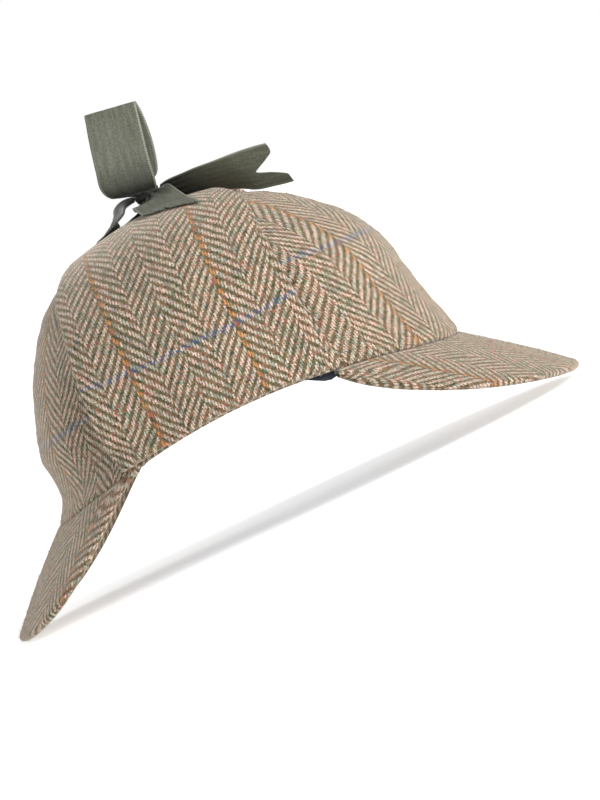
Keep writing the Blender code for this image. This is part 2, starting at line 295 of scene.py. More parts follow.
# Undyed and dyed wool, as the colour of light it sends back
WARP_WOOL = (
    (0.00, (0.220, 0.230, 0.190)),
    (0.22, (0.430, 0.425, 0.350)),
    (0.45, (0.580, 0.490, 0.405)),
    (0.68, (0.600, 0.410, 0.335)),
    (0.85, (0.780, 0.700, 0.600)),
    (1.00, (0.360, 0.245, 0.150)),
)
WEFT_WOOL = (
    (0.00, (0.040, 0.045, 0.024)),
    (0.20, (0.125, 0.140, 0.066)),
    (0.42, (0.215, 0.150, 0.080)),
    (0.62, (0.075, 0.058, 0.034)),
    (0.82, (0.350, 0.250, 0.120)),
    (1.00, (0.290, 0.105, 0.080)),
)
NEP_WOOL = (
    (0.38, (0.300, 0.060, 0.045)),
    (0.46, (0.360, 0.170, 0.050)),
    (0.54, (0.090, 0.170, 0.070)),
    (0.62, (0.080, 0.150, 0.170)),
)
STRAY_WOOL = (
    (0.00, (0.60, 0.52, 0.42)),
    (0.45, (0.42, 0.40, 0.30)),
    (0.70, (0.30, 0.18, 0.09)),
    (0.85, (0.10, 0.12, 0.06)),
    (1.00, (0.35, 0.08, 0.06)),
)
ORANGE_WOOL = (0.55, 0.23, 0.050, 1)
RUST_WOOL = (0.36, 0.10, 0.05, 1)
BLUE_WOOL = (0.065, 0.110, 0.215, 1)
RED_WOOL = (0.30, 0.045, 0.045, 1)

# How far each yarn's colour wanders, the share of rust in the orange line, and how full the lines are dyed
HEATHER_SPREAD = 1.9
RUST_SHARE = 0.28
ORANGE_LINE_FULLNESS = 0.88
BLUE_LINE_FULLNESS = 0.75

# What the cloth's own unevenness multiplies its colour by
TINTS = (
    (0.40, (0.93, 1.00, 0.95)),
    (0.50, (1.00, 0.98, 0.98)),
    (0.60, (1.00, 0.91, 0.92)),
)
SPECKS = (
    (0.32, (0.62, 0.60, 0.52)),
    (0.42, (0.88, 0.98, 0.90)),
    (0.50, (1.00, 1.00, 1.04)),
    (0.58, (1.14, 1.00, 1.04)),
    (0.68, (1.36, 1.28, 1.26)),
)

# Neps: where their edge starts and ends, and how full they are dyed
NEP_EDGE = (0.55, 0.70)
NEP_FULLNESS = 0.70

# Shades: the least, and what is added to it. Painted shade between the yarns by their height, and a tone over
# the cloth by wear
YARN_SHADE = (0.62, 0.40)
WEAR_SHADE = (0.86, 0.28)

# Lining and ribbon
LINING_NAVY = ((0.012, 0.016, 0.030, 1), (0.022, 0.028, 0.045, 1))
LINING_RIB_PITCH = 0.0006
# The ribbon's olive from dark to light, picked by the painted satin sheen and the grain of its own tone
RIBBON_OLIVE = (
    (0.34, (0.076, 0.081, 0.057)),
    (0.50, (0.112, 0.119, 0.085)),
    (0.66, (0.158, 0.167, 0.125)),
)
RIB_PITCH = 0.00075
RIB_SHADE = (0.93, 0.07)
RIB_WANDER = 0.0006
PICOT_OLIVE = (0.30, 0.31, 0.25, 1)
PICOT_PITCH = 0.0011
PICOT_WIDTH = 0.0009
PICOT_FULLNESS = (0.35, 0.3)

# Painted shade: each ribbon is darkened towards the knot, for the shade where it curls under and gathers there.
# Columns: its shade there, and the length by which it is at its full colour
RIBBON_SHADES = {"ribbed_ribbon": (0.10, 0.034), "frayed_ribbon": (0.55, 0.014)}
SHADE_START = 0.007
SHADE_WANDER = 0.006

# What is the same all over each finish
TWEED_SURFACE = {
    "Roughness": 0.95,
    "Specular IOR Level": 0.15,
    "Sheen Weight": 0.55,
    "Sheen Roughness": 0.45,
    "Sheen Tint": (0.95, 0.88, 0.76, 1),
}
LINING_SURFACE = {"Roughness": 0.7}
RIBBON_SURFACE = {
    "Roughness": 0.55,
    "Specular IOR Level": 0.35,
    "Anisotropic": 0.6,
    "Sheen Weight": 0.15,
    "Sheen Roughness": 0.4,
}
LOOSE_WOOL_SURFACE = {"Roughness": 0.9, "Specular IOR Level": 0.1}
FLOOR_SURFACE = {"Roughness": 0.9, "Emission Color": (1, 1, 1, 1), "Emission Strength": 0.50}
FLOOR_WHITE = (0.93, 0.93, 0.93, 1)
FLOOR_SIZE = 20

# Columns: name, direction the light comes from, how wide it is in degrees, and its strength
SOFT_LIGHTS = (
    ("key_light", (1.4, -0.66, 0.72), 28, 3.2),
    ("fill_light", (0.6, -1.5, 0.40), 60, 1.15),
    ("back_light", (-1.2, 1.0, 0.5), 40, 1.7),
)
WORLD_WHITE = 1.0
WORLD_LIGHT = 0.31

# The camera, turned about its own line of sight so that the hat's front is raised as in the photo
CAMERA_DISTANCE = 2.60
CAMERA_LENS = 251.6
CAMERA_SENSOR = 36
CAMERA_NEAR = 0.05
CAMERA_AZIMUTH = math.radians(3)
CAMERA_ELEVATION = math.radians(2.6)
CAMERA_ROLL = math.radians(26.0)
AIM_RIGHT = 0.0227
AIM_UP = 0.0036


def smooth_row(rows, run):
    """Read a table at run, 0 on its first row and 1 on its last, on a smooth curve through the rows."""
    place = run * (len(rows) - 1)
    index = min(int(place), len(rows) - 2)
    part = place - index
    behind, start = rows[max(index - 1, 0)], rows[index]
    end, ahead = rows[index + 1], rows[min(index + 2, len(rows) - 1)]
    values = []
    for a, b, c, d in zip(behind, start, end, ahead):
        bend = (2 * a - 5 * b + 4 * c - d) * part + (3 * b - a - 3 * c + d) * part ** 2
        values.append(b + 0.5 * part * (c - a + bend))
    return values


def solve(falls_below, low, high):
    """The place between low and high where falls_below first turns true."""
    for _ in range(SOLVE_STEPS):
        middle = (low + high) / 2
        if falls_below(middle):
            high = middle
        else:
            low = middle
    return (low + high) / 2


def crowd_ends(share):
    """Spread 0 to 1 with more steps near both ends."""
    return (1 - math.cos(math.pi * share)) / 2


def cloth_wave(point, wave):
    """The slow uneven lie of cloth: wave is its height and its length."""
    height, length = wave
    return height * noise.noise(point / length)


def wrap_edge(distance, radius):
    """Cloth that wraps a round edge, at a distance along the cloth. Returns how far in it lies and its height
    share."""
    turn = min(distance / radius, math.pi / 2)
    return distance - radius * (turn - 1 + math.cos(turn)), math.sin(turn)


# Shapes shared with the solid part


def rim_height(angle):
    return RIM_LEVEL + RIM_ARCH * abs(math.sin(angle)) ** RIM_ARCH_POWER


def crown_share(angle, rise):
    """How much of the rim's reach is left at this plan angle and rise."""
    front, side, back = smooth_row(CROWN_SECTIONS, rise)[1:]
    lengthwise = front if math.cos(angle) > 0 else back
    return lengthwise * math.cos(angle) ** 2 + side * math.sin(angle) ** 2


def crown_point(angle, rise):
    """A point of the crown's outside; rise is 0 at the rim and 1 at the top."""
    share = crown_share(angle, rise)
    low = rim_height(angle)
    height = smooth_row(CROWN_SECTIONS, rise)[0]
    return Vector((
        RIM_LENGTH / 2 * share * math.cos(angle),
        RIM_WIDTH / 2 * share * math.sin(angle),
        low + (RIM_LEVEL + CROWN_HEIGHT - low) * height,
    ))


def crown_normal(angle, rise):
    low = max(rise - SLOPE_STEP, 0)
    high = min(rise + SLOPE_STEP, 1)
    round_it = crown_point(angle + SLOPE_STEP, rise) - crown_point(angle - SLOPE_STEP, rise)
    upwards = crown_point(angle, high) - crown_point(angle, low)
    return round_it.cross(upwards).normalized()


def crown_angle(forward, rise):
    """The plan angle at which the crown's outside is this far forward, at this rise."""
    return solve(lambda angle: crown_point(angle, rise).x < forward, 0, math.pi)


@lru_cache(maxsize=None)
def crown_rise(forward, aside):
    """The rise at which the crown's outside passes over a point of the plan."""
    across, along = 2 * aside / RIM_WIDTH, 2 * forward / RIM_LENGTH
    angle = math.atan2(across, along)
    share = math.hypot(across, along)
    return solve(lambda rise: crown_share(angle, rise) < share, 0, 1)


# Mesh helpers


def mapped_grid(facets, place, cloth):
    """A grid over 0 to 1 across and along. Place gives each point, and cloth its place on the flat cloth."""
    grid = bmesh.new()
    bmesh.ops.create_grid(grid, x_segments=facets[0], y_segments=facets[1], size=0.5)
    flat = grid.loops.layers.uv.new(CLOTH_MAP)
    for point in grid.verts:
        across, along = point.co.x + 0.5, point.co.y + 0.5
        laid = cloth(across, along)
        for corner in point.link_loops:
            corner[flat].uv = laid
        point.co = place(across, along)
    return grid


def merge(shape):
    bmesh.ops.remove_doubles(shape, verts=shape.verts, dist=MERGE_DISTANCE)
    return shape


def two_faced(facets, place, cloth):
    """A closed padded form: place takes which face (1 outer, -1 inner), across and along."""
    outer = mapped_grid(facets, lambda across, along: place(1, across, along), cloth)
    inner = mapped_grid(facets, lambda across, along: place(-1, across, along), cloth)
    bmesh.ops.reverse_faces(inner, faces=inner.faces)
    spare = bpy.data.meshes.new("spare")
    inner.to_mesh(spare)
    inner.free()
    outer.from_mesh(spare)
    bpy.data.meshes.remove(spare)
    return merge(outer)


def add_object(name, shape, finishes, smooth=True):
    """Turn a shape into an object of the scene."""
    mesh = bpy.data.meshes.new(name)
    shape.to_mesh(mesh)
    shape.free()
    if smooth:
        mesh.shade_smooth()
    for finish in finishes:
        mesh.materials.append(finish)
    piece = bpy.data.objects.new(name, mesh)
    bpy.context.scene.collection.objects.link(piece)
    return piece


def add_piece(name, shape, finishes, node):
    """A piece that stands for its solid in the part."""
    piece = add_object(name, shape, finishes)
    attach(piece, "root")
    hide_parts(node)
    return piece


def add_wall(piece, thickness, side, inner_finish=0):
    """Side is -1 to thicken inwards, 0 both ways and 1 outwards."""
    wall = piece.modifiers.new("wall", "SOLIDIFY")
    wall.thickness = thickness
    wall.offset = side
    wall.use_even_offset = False
    wall.material_offset = inner_finish
    return wall


# Finishes


class Finish:
    """A cloth material and short ways to add nodes to it."""

    def __init__(self, name):
        self.material = bpy.data.materials.new(name)
        self.material.use_nodes = True
        self.tree = self.material.node_tree
        self.shader = self.tree.nodes["Principled BSDF"]

    def add(self, kind, **settings):
        node = self.tree.nodes.new("ShaderNode" + kind)
        for setting, value in settings.items():
            setattr(node, setting, value)
        return node

    def feed(self, socket, value):
        """Link a socket to another node's output, or set it."""
        if isinstance(value, bpy.types.NodeSocket):
            self.tree.links.new(value, socket)
        else:
            socket.default_value = value

    def calc(self, operation, *values):
        node = self.add("Math", operation=operation)
        for socket, value in zip(node.inputs, values):
            self.feed(socket, value)
        return node.outputs[0]

    def blend(self, share, first, second, mode="MIX"):
        node = self.add("Mix", data_type="RGBA", blend_type=mode, clamp_factor=True)
        for socket, value in ((0, share), (6, first), (7, second)):
            self.feed(node.inputs[socket], value)
        return node.outputs[2]

    def shade(self, colour, by):
        """Multiply a colour by another."""
        return self.blend(1.0, colour, by, "MULTIPLY")

    def about_zero(self, value, size):
        """Turn a value about 0.5 into one about 0, spread by size."""
        return self.calc("MULTIPLY", self.calc("SUBTRACT", value, 0.5), size)

    def raised(self, value, least, added):
        """Least, and the value times what is added."""
        return self.calc("ADD", least, self.calc("MULTIPLY", value, added))

    def ease(self, value, start, end, low, high):
        """Go smoothly from low at start to high at end."""
        node = self.add("MapRange", interpolation_type="SMOOTHSTEP")
        for socket, given in zip(node.inputs, (value, start, end, low, high)):
            self.feed(socket, given)
        return node.outputs[0]

    def ribs(self, place, pitch):
        """A wave from -1 to 1 that repeats at each pitch."""
        return self.calc("SINE", self.calc("MULTIPLY", place, 2 * math.pi / pitch))

    def place(self, across, along, layer=0.0):
        node = self.add("CombineXYZ")
        for socket, value in zip(node.inputs, (across, along, layer)):
            self.feed(socket, value)
        return node.outputs[0]

    def mottle(self, place, scale, detail=2.0):
        """Uneven values about 0.5 at a place. Scale is how finely they change over a metre of cloth."""
        node = self.add("TexNoise")
        self.feed(node.inputs["Vector"], place)
        node.inputs["Scale"].default_value = scale
        node.inputs["Detail"].default_value = detail
        return node.outputs["Fac"]

    def scatter(self, place):
        """A value from 0 to 1 that jumps from one place to the next."""
        node = self.add("TexWhiteNoise", noise_dimensions="2D")
        self.feed(node.inputs["Vector"], place)
        return node.outputs["Value"]

    def ramp(self, value, stops):
        node = self.add("ValToRGB")
        steps = node.color_ramp.elements
        while len(steps) < len(stops):
            steps.new(0.5)
        for step, (position, colour) in zip(steps, stops):
            step.position = position
            step.color = (*colour, 1)
        self.feed(node.inputs["Fac"], value)
        return node.outputs["Color"]

    def grey(self, value):
        node = self.add("CombineColor")
        for socket in node.inputs:
            self.feed(socket, value)
        return node.outputs[0]

    def cloth_place(self):
        """The place on the flat cloth, across and along."""
        node = self.add("UVMap", uv_map=CLOTH_MAP)
        apart = self.add("SeparateXYZ")
        self.feed(apart.inputs[0], node.outputs[0])
        return apart.outputs[0], apart.outputs[1]

    def cover(self, colour, surface):
        """Give the shader its colour and what is the same all over."""
        self.feed(self.shader.inputs["Base Color"], colour)
        for quality, value in surface.items():
            self.shader.inputs[quality].default_value = value

    def raise_surface(self, height, distance, strength=1.0):
        node = self.add("Bump")
        node.inputs["Strength"].default_value = strength
        node.inputs["Distance"].default_value = distance
        self.feed(node.inputs["Height"], height)
        self.feed(self.shader.inputs["Normal"], node.outputs["Normal"])


def make_tweed():
    """Herringbone tweed, woven end by end and pick by pick from its place on the flat cloth."""
    f = Finish("herringbone_tweed")
    across, along = f.cloth_place()
    ground = f.place(across, along)
    crossed = f.place(along, across, 0.31)

    # Hand-loom unevenness moves the yarns a little off their straight lines, and fibres blur their edges
    def loosened(straight, place):
        slow = f.about_zero(f.mottle(place, scale=95), YARN_DRIFT)
        hairy = f.about_zero(f.mottle(place, scale=1700, detail=1.0), YARN_HAIR)
        return f.calc("ADD", straight, f.calc("ADD", slow, hairy))

    end = f.calc("DIVIDE", loosened(across, ground), END_PITCH)
    pick = f.calc("DIVIDE", loosened(along, crossed), PICK_PITCH)
    end_number, pick_number = f.calc("FLOOR", end), f.calc("FLOOR", pick)
    end_part, pick_part = f.calc("FRACT", end), f.calc("FRACT", pick)

    # Two up, two down, turned round at each column. Stage runs from 0 to 4 along each warp end
    column = f.calc("FLOORED_MODULO", f.calc("FLOOR", f.calc("DIVIDE", end_number, COLUMN_ENDS)), 2)
    turn = f.calc("SUBTRACT", 1, f.calc("MULTIPLY", column, 2))
    step = f.calc("ADD", f.calc("MULTIPLY", turn, end_number), column)
    stage = f.calc("ADD", f.calc("FLOORED_MODULO", f.calc("ADD", step, pick_number), 4), pick_part)

    # Each warp float lies over the weft as a long rounded dash
    from_float = f.calc("MINIMUM", f.calc("ABSOLUTE", f.calc("SUBTRACT", stage, 1)),
                        f.calc("ABSOLUTE", f.calc("SUBTRACT", stage, 5)))
    lengthwise = f.calc("POWER", f.calc("DIVIDE", from_float, FLOAT_LENGTH), 2)
    crosswise = f.calc("POWER", f.calc("DIVIDE", f.calc("SUBTRACT", end_part, 0.5), FLOAT_WIDTH), 2)
    away = f.calc("ADD", lengthwise, crosswise)
    end_rate, pick_rate, layer = FIBRE_RATES
    fibre_place = f.place(f.calc("MULTIPLY", end, end_rate), f.calc("MULTIPLY", pick, pick_rate), layer)
    fibres = f.mottle(fibre_place, scale=1.0, detail=3.0)
    away = f.calc("ADD", away, f.about_zero(fibres, FLOAT_BREAK))
    warp_up = f.ease(away, *FLOAT_EDGE, 0.0, 1.0)
    weft_height = f.calc("MULTIPLY", f.calc("SINE", f.calc("MULTIPLY", pick_part, math.pi)), WEFT_CREST)
    warp_height = f.calc("SQRT", f.calc("MAXIMUM", f.calc("SUBTRACT", WARP_CREST, away), 0.0))
    height = f.calc("MAXIMUM", weft_height, warp_height)

    # Heathered colour along each yarn
    float_number = f.calc("FLOOR", f.calc("DIVIDE", f.calc("ADD", f.calc("ADD", step, pick), 1), 4))
    warp_place = f.place(end_number, float_number)
    weft_place = f.place(f.calc("FLOOR", f.calc("MULTIPLY", end, WEFT_DYE_RATE)), pick_number, 7.0)

    def heather(place, wool):
        return f.ramp(f.calc("ADD", f.scatter(place), f.about_zero(fibres, HEATHER_SPREAD)), wool)

    warp_colour = heather(warp_place, WARP_WOOL)
    weft_colour = heather(weft_place, WEFT_WOOL)

    # The coloured lines of the check
    line_end = f.calc("LESS_THAN", f.calc("FLOORED_MODULO", end_number, CHECK_ENDS), LINE_YARNS - 0.5)
    line_colour = f.blend(f.calc("GREATER_THAN", f.scatter(warp_place), 1 - RUST_SHARE), ORANGE_WOOL, RUST_WOOL)
    warp_colour = f.blend(f.calc("MULTIPLY", line_end, ORANGE_LINE_FULLNESS), warp_colour, line_colour)
    check_pick = f.calc("FLOORED_MODULO", pick_number, CHECK_PICKS)
    blue_pick = f.calc("MULTIPLY", f.calc("LESS_THAN", check_pick, LINE_YARNS - 0.5), BLUE_LINE_FULLNESS)
    weft_colour = f.blend(blue_pick, weft_colour, BLUE_WOOL)
    weft_colour = f.blend(f.calc("COMPARE", check_pick, RED_LINE_PICK, 0.6), weft_colour, RED_WOOL)
    colour = f.blend(warp_up, weft_colour, warp_colour)

    # Small dyed neps, and painted shade in the hollows between the yarns
    nep = f.ease(f.mottle(crossed, scale=900, detail=1.0), *NEP_EDGE, 0.0, NEP_FULLNESS)
    colour = f.blend(nep, colour, f.ramp(f.mottle(crossed, scale=310, detail=1.0), NEP_WOOL))
    colour = f.shade(colour, f.grey(f.calc("MINIMUM", f.raised(height, *YARN_SHADE), 1.0)))
    colour = f.shade(colour, f.ramp(f.mottle(ground, scale=210), TINTS))
    colour = f.shade(colour, f.ramp(f.mottle(crossed, scale=1150), SPECKS))
    colour = f.shade(colour, f.grey(f.raised(f.mottle(ground, scale=30, detail=3.0), *WEAR_SHADE)))
    f.cover(colour, TWEED_SURFACE)
    relief = f.calc("ADD", height, f.calc("MULTIPLY", fibres, FIBRE_HEIGHT))
    f.raise_surface(relief, distance=0.00035, strength=0.8)
    return f.material


def make_lining():
    f = Finish("plain_lining")
    across, along = f.cloth_place()
    f.cover(f.blend(f.mottle(f.place(across, along), scale=60), *LINING_NAVY), LINING_SURFACE)
    f.raise_surface(f.ribs(f.calc("ADD", across, along), LINING_RIB_PITCH), distance=0.00005)
    return f.material


def make_ribbon(name, knot_shade, shade_length):
    """Ribbed ribbon: fine ribs across it, a painted satin sheen in streaks along it and a picot at each edge.
    Painted shade darkens it towards the knot, down to knot_shade, for the shade where it curls under and
    gathers there."""
    f = Finish(name)
    across, along = f.cloth_place()
    ground = f.place(across, along)
    wander = f.calc("MULTIPLY", f.mottle(ground, scale=140), RIB_WANDER)
    rib = f.ribs(f.calc("ADD", along, wander), RIB_PITCH)
    # Painted satin sheen: streaks along the ribbon, mixed half and half with a fine grain of its own tone
    painted_sheen_streak = f.mottle(f.place(f.calc("MULTIPLY", across, 9), along), scale=60)
    grain = f.mottle(ground, scale=900)
    tone = f.calc("ADD", f.calc("MULTIPLY", painted_sheen_streak, 0.5), f.calc("MULTIPLY", grain, 0.5))
    colour = f.shade(f.ramp(tone, RIBBON_OLIVE), f.grey(f.raised(rib, *RIB_SHADE)))
    # Painted shade: darker towards the knot, along a wavering edge
    fold = f.calc("MULTIPLY", f.mottle(ground, scale=160), SHADE_WANDER)
    from_knot_along = f.calc("ADD", f.calc("ABSOLUTE", along), fold)
    painted_knot_shade = f.ease(from_knot_along, SHADE_START, shade_length, knot_shade, 1.0)
    colour = f.shade(colour, f.grey(painted_knot_shade))
    edge = f.calc("GREATER_THAN", f.calc("ABSOLUTE", across), RIBBON_WIDTH / 2 - PICOT_WIDTH)
    picot = f.ribs(along, PICOT_PITCH)
    colour = f.blend(f.calc("MULTIPLY", edge, f.raised(picot, *PICOT_FULLNESS)), colour, PICOT_OLIVE)
    f.cover(colour, RIBBON_SURFACE)
    edge_height = f.calc("MULTIPLY", edge, f.calc("ADD", 1.0, picot))
    f.raise_surface(f.calc("ADD", rib, edge_height), distance=0.00004, strength=0.6)
    return f.material


# Crown


def gore_cut(middle):
    """The flat gore: rows of length from the rim and half width, from the rim to the top."""
    rows, length = [], 0
    last = crown_point(middle, 0)
    for step in range(ARC_STEPS + 1):
        rise = TIP_SHARE * step / ARC_STEPS
        here = crown_point(middle, rise)
        length += (here - last).length
        last = here
        angles = [middle + GORE_ANGLE / 2 * part / SEAM_STEPS for part in range(SEAM_STEPS + 1)]
        edge = [crown_point(angle, rise) for angle in angles]
        rows.append((length, sum((b - a).length for a, b in zip(edge, edge[1:]))))
    return rows


def build_gore(index, tweed, lining):
    middle = (index + 0.5) * GORE_ANGLE
    name = GORE_NAMES[index]
    kind = name.split("_")[0]
    cut = gore_cut(middle)
    hand = -1 if name.endswith("right") else 1

    def place(across, along):
        across = crowd_ends(across)
        rise = along * TIP_SHARE
        length, half_width = smooth_row(cut, along)
        half = GORE_ANGLE / 2 - SEAM_GAP / 2 / crown_point(middle, rise).xy.length if along < 1 else 0
        angle = middle + half * (2 * across - 1)
        from_seam = 2 * half_width * min(across, 1 - across)
        depth, spread = SEAM_VALLEY
        height, fade, pucker_length = SEAM_PUCKER
        valley = depth * math.exp(-(from_seam / spread) ** 2)
        pucker = height * math.sin(2 * math.pi * length / pucker_length + index) * math.exp(-from_seam / fade)
        point = crown_point(angle, rise)
        wave = cloth_wave(point, CROWN_WAVE)
        _, roll = wrap_edge(length, RIM_ROLL)
        fade_top = min(1, (1 - along) / TOP_FADE_SHARE)
        lift = (wave + pucker - valley) * fade_top - RIM_ROLL * (1 - roll)
        from_dent = ((point.x - DENT_FORWARD) / DENT_WIDTH) ** 2
        from_dent += ((rise - DENT_RISE) / DENT_RISE_SPREAD) ** 2
        lift -= DENT_DEPTH * math.exp(-from_dent)
        return point + crown_normal(angle, min(rise, LAST_NORMAL_RISE)) * lift

    def cloth(across, along):
        length, half_width = smooth_row(cut, along)
        side = half_width * (2 * crowd_ends(across) - 1)
        return side * hand + GORE_WARP_LINES[kind], length - GORE_BLUE_LINES[kind]

    shape = merge(mapped_grid(GORE_FACETS, place, cloth))
    gore = add_piece("gore_" + name, shape, (tweed, lining), "crown_panel_" + name)
    add_wall(gore, CROWN_WALL, -1, inner_finish=1)
    return gore


def build_lining_edge(lining):
    """The lining's lower edge, which shows in the notches between the flaps and the front peak."""
    def place(across, along):
        angle = math.pi * (2 * across - 1)
        from_notch = (abs(angle) - LINING_NOTCH_ANGLE) / LINING_NOTCH_SPREAD
        drop = LINING_EDGE_DROP * math.exp(-from_notch ** 2) - LINING_EDGE_LIFT
        rise = LINING_EDGE_RISE * along
        inside = crown_point(angle, rise) - crown_normal(angle, rise) * LINING_EDGE_INSET
        return inside - Vector((0, 0, drop * (1 - along)))

    def cloth(across, along):
        return across * (RIM_LENGTH + RIM_WIDTH) / 2 * math.pi, along * LINING_EDGE_RISE * CROWN_HEIGHT

    shape = merge(mapped_grid(LINING_EDGE_FACETS, place, cloth))
    piece = add_object("lining_edge", shape, (lining,))
    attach(piece, "root")
    add_wall(piece, LINING_EDGE_THICKNESS, 0)


# Peaks


def build_peak(name, heading, node, tweed):
    """A padded peak round the front (heading 0) or the back (heading pi) of the rim."""
    radius = PEAK_THICKNESS / 2
    half_degrees, droop, longest, power, fullness, bow_height, *tip_form = PEAK_FORMS[name]
    tip_lift, tip_power, tip_degrees = tip_form
    half_angle, tip_spread = math.radians(half_degrees), math.radians(tip_degrees)

    def reach_at(turn):
        return longest * max(1 - abs(turn / half_angle) ** power, 0) ** fullness

    def surface(turn, run, reach):
        """A point of the peak's top, run out from its root."""
        angle = heading + turn
        root = crown_point(angle, 0) - Vector((0, 0, PEAK_SEAM_GAP))
        outwards = Vector((RIM_WIDTH * math.cos(angle), RIM_LENGTH * math.sin(angle), 0)).normalized()
        fall = run * math.tan(PEAK_SLOPE + math.radians(droop) * (turn / half_angle) ** 2)
        out_share = max(run, 0) / reach
        bow = bow_height * reach / longest * math.sin(math.pi * out_share)
        tip = tip_lift * out_share ** tip_power * math.exp(-(turn / tip_spread) ** 2)
        return root + outwards * run + Vector((0, 0, bow + tip - fall))

    def turn_at(along):
        return half_angle * PEAK_END_SHARE * (2 * along - 1)

    def slope_length(turn):
        """The cloth's length from the tucked root to the outer edge."""
        return (reach_at(turn) + PEAK_TUCK) / math.cos(PEAK_SLOPE)

    def edge_run(across, turn):
        """The cloth's length from the outer edge at this share across, with more rows near both edges."""
        return slope_length(turn) * (1 - crowd_ends(across))

    def edge_share(turn):
        """How much of a way straight outwards counts towards the outer edge, which runs at a slant."""
        reach = reach_at(turn)
        ahead, behind = turn + PEAK_EDGE_STEP, turn - PEAK_EDGE_STEP
        along_edge = surface(ahead, reach_at(ahead), reach) - surface(behind, reach_at(behind), reach)
        outwards = surface(turn, reach, reach) - surface(turn, 0, reach)
        slant = along_edge.normalized().dot(outwards.normalized())
        return max(math.sqrt(max(1 - slant ** 2, 0)), LEAST_EDGE_SHARE)

    @lru_cache(maxsize=None)
    def section(along):
        turn = turn_at(along)
        return turn, reach_at(turn), slope_length(turn), edge_share(turn)

    def place(side, across, along):
        turn, reach, full, share = section(round(along, PLACE_DIGITS))
        from_edge = edge_run(across, turn)
        inwards, height = wrap_edge(from_edge * share, min(radius, full * share / 2))
        tucked, root_height = wrap_edge(full - from_edge, min(radius, full / 2))
        run = reach - inwards / share * math.cos(PEAK_SLOPE)
        if from_edge > full / 2:
            run = tucked * math.cos(PEAK_SLOPE) - PEAK_TUCK
            height = min(height, root_height)
        point = surface(turn, run, reach)
        outwards = surface(turn, run + PEAK_NORMAL_STEP, reach) - point
        sideways = surface(turn + PEAK_NORMAL_STEP, run, reach) - point
        normal = sideways.cross(outwards).normalized()
        if normal.z < 0:
            normal.negate()
        wave = cloth_wave(point, PEAK_WAVE) if side > 0 else 0
        point = point + normal * (wave * height - radius + side * radius * height)
        point.z = max(point.z, LEAST_HEIGHT)
        return point

    def cloth(across, along):
        turn, _, full, _ = section(round(along, PLACE_DIGITS))
        root = crown_point(heading + turn, 0).xy.length
        outwards = (root / math.cos(PEAK_SLOPE)) + full - edge_run(across, turn)
        spread = turn * math.cos(PEAK_SLOPE)
        return outwards * math.sin(spread) + PEAK_WARP_LINE, outwards * math.cos(spread) - PEAK_WEFT_LINE

    shape = two_faced(PEAK_FACETS, place, cloth)
    peak = add_piece(name, shape, (tweed,), node)
    return peak


# Ear flaps


@lru_cache(maxsize=None)
def side_lengths(forward_step):
    """Lengths over the crown's side from the fold up to the flap's top, at a place counted in forward steps."""
    forward = forward_step * FORWARD_STEP
    top = crown_rise(round(forward, PLACE_DIGITS), FLAP_TOP_GAP / 2)
    lengths, last = [(0,)], None
    for step in range(ARC_STEPS + 1):
        rise = top * step / ARC_STEPS
        here = crown_point(crown_angle(forward, rise), rise)
        if last is not None:
            lengths.append((lengths[-1][0] + (here - last).length,))
        last = here
    return lengths


def flap_length():
    return side_lengths(round(FLAP_CENTRE / FORWARD_STEP))[-1][0]


def flap_surface(aside, run, length, clear):
    """The right flap's lie over the crown: aside is -1 at the back edge and 1 at the front, and run goes from
    the fold to the top. Returns the point and the direction outwards."""
    half, back_lift, front_lift = smooth_row(FLAP_SECTIONS, run)
    from_top = (1 - run) * length
    inset = 0
    if from_top < FLAP_CORNER:
        inset = FLAP_CORNER - math.sqrt(FLAP_CORNER ** 2 - (FLAP_CORNER - from_top) ** 2)
    forward = FLAP_CENTRE + aside * (half * FLAP_HALF_WIDTH - inset)
    rise = run * crown_rise(round(forward, PLACE_DIGITS), FLAP_TOP_GAP / 2)
    angle = crown_angle(forward, rise)
    lift = FLAP_EDGE_LIFT * (back_lift if aside < 0 else front_lift) * abs(aside) ** 3
    outwards = crown_normal(angle, rise)
    point = crown_point(angle, rise) + outwards * (clear + lift)
    return Vector((point.x, -point.y, point.z)), Vector((outwards.x, -outwards.y, outwards.z))


def build_flap(name, side, node, tweed):
    """Side is -1 for the wearer's right and 1 for the left."""
    length = flap_length()
    radius = FLAP_THICKNESS / 2
    width = 2 * FLAP_HALF_WIDTH

    def shares(across, along):
        """Where a cloth place lies on the flap, and its height share, with its four edges wrapped."""
        cloth_across, cloth_along = crowd_ends(across) * width, crowd_ends(along) * length
        in_side, side_height = wrap_edge(min(cloth_across, width - cloth_across), radius)
        in_end, end_height = wrap_edge(min(cloth_along, length - cloth_along), radius)
        aside = -1 + 2 * in_side / width if cloth_across < width / 2 else 1 - 2 * in_side / width
        run = in_end / length if cloth_along < length / 2 else 1 - in_end / length
        return aside, run, min(side_height, end_height)

    def place(face, across, along):
        aside, run, height = shares(across, along)
        point, outwards = flap_surface(aside, run, length, FLAP_CLEARANCE + radius)
        wave = cloth_wave(point, FLAP_WAVE) if face > 0 else 0
        point = point + outwards * (face * radius * height + wave * height)
        return Vector((point.x, -side * point.y, point.z))

    def cloth(across, along):
        aside, run, _ = shares(across, along)
        point, _ = flap_surface(aside, run, length, 0)
        climbed = smooth_row(side_lengths(round(point.x / FORWARD_STEP)), run)[0]
        arch = rim_height(crown_angle(point.x, 0)) - RIM_LEVEL
        return point.x - FLAP_WARP_LINE, climbed + arch - FLAP_BLUE_LINE

    shape = two_faced(FLAP_FACETS, place, cloth)
    if side < 0:
        bmesh.ops.reverse_faces(shape, faces=shape.faces)
    flap = add_piece(name, shape, (tweed,), node)
    return flap


# Loose wool


def make_loose_wool():
    f = Finish("loose_wool")
    across, along = f.cloth_place()
    place = f.place(*(f.calc("MULTIPLY", dye, STRAY_DYE_RATE) for dye in (across, along)))
    f.cover(f.ramp(f.scatter(place), STRAY_WOOL), LOOSE_WOOL_SURFACE)
    return f.material


